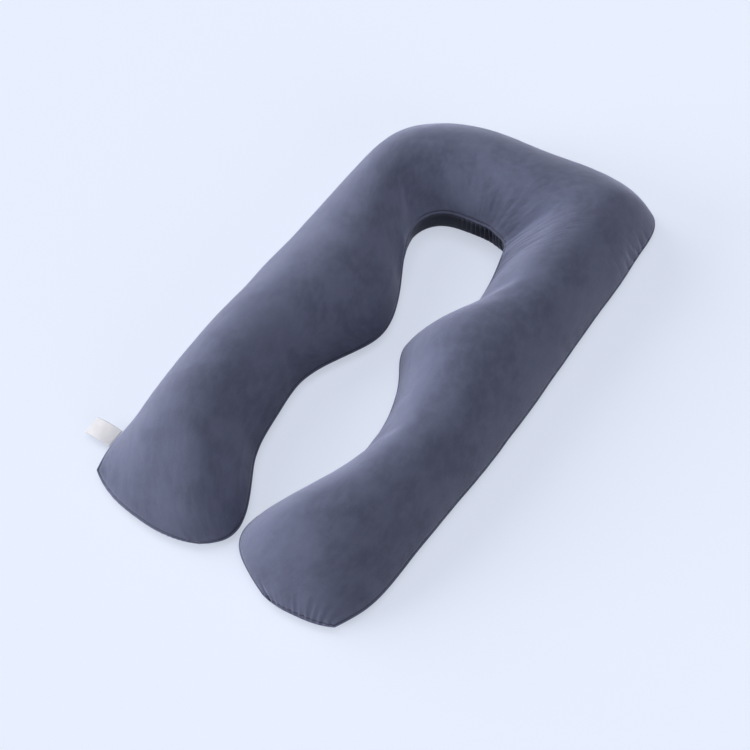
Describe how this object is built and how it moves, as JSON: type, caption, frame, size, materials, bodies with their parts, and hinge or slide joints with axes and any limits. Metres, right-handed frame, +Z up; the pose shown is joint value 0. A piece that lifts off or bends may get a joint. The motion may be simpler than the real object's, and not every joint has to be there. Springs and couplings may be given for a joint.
{
  "type": "pregnancy pillow",
  "caption": "U-shaped filled pregnancy pillow with waisted legs joined by a broad bend, lying flat, with a blank label in its side seam.",
  "frame": {"origin": "middle of the footprint, on the surface that the pillow lies on", "axes": "+Y from the feet of the legs to the bend, +X towards the leg without the label, +Z up out of the crown"},
  "size_m": [0.7998, 1.4528, 0.1741],
  "materials": {
    "jersey": "smooth brushed jersey with a soft sheen",
    "label_tape": "matt woven tape"
  },
  "bodies": {
    "root": {"pillow": "jersey", "side_label": "label_tape"}
  },
  "joints": []
}
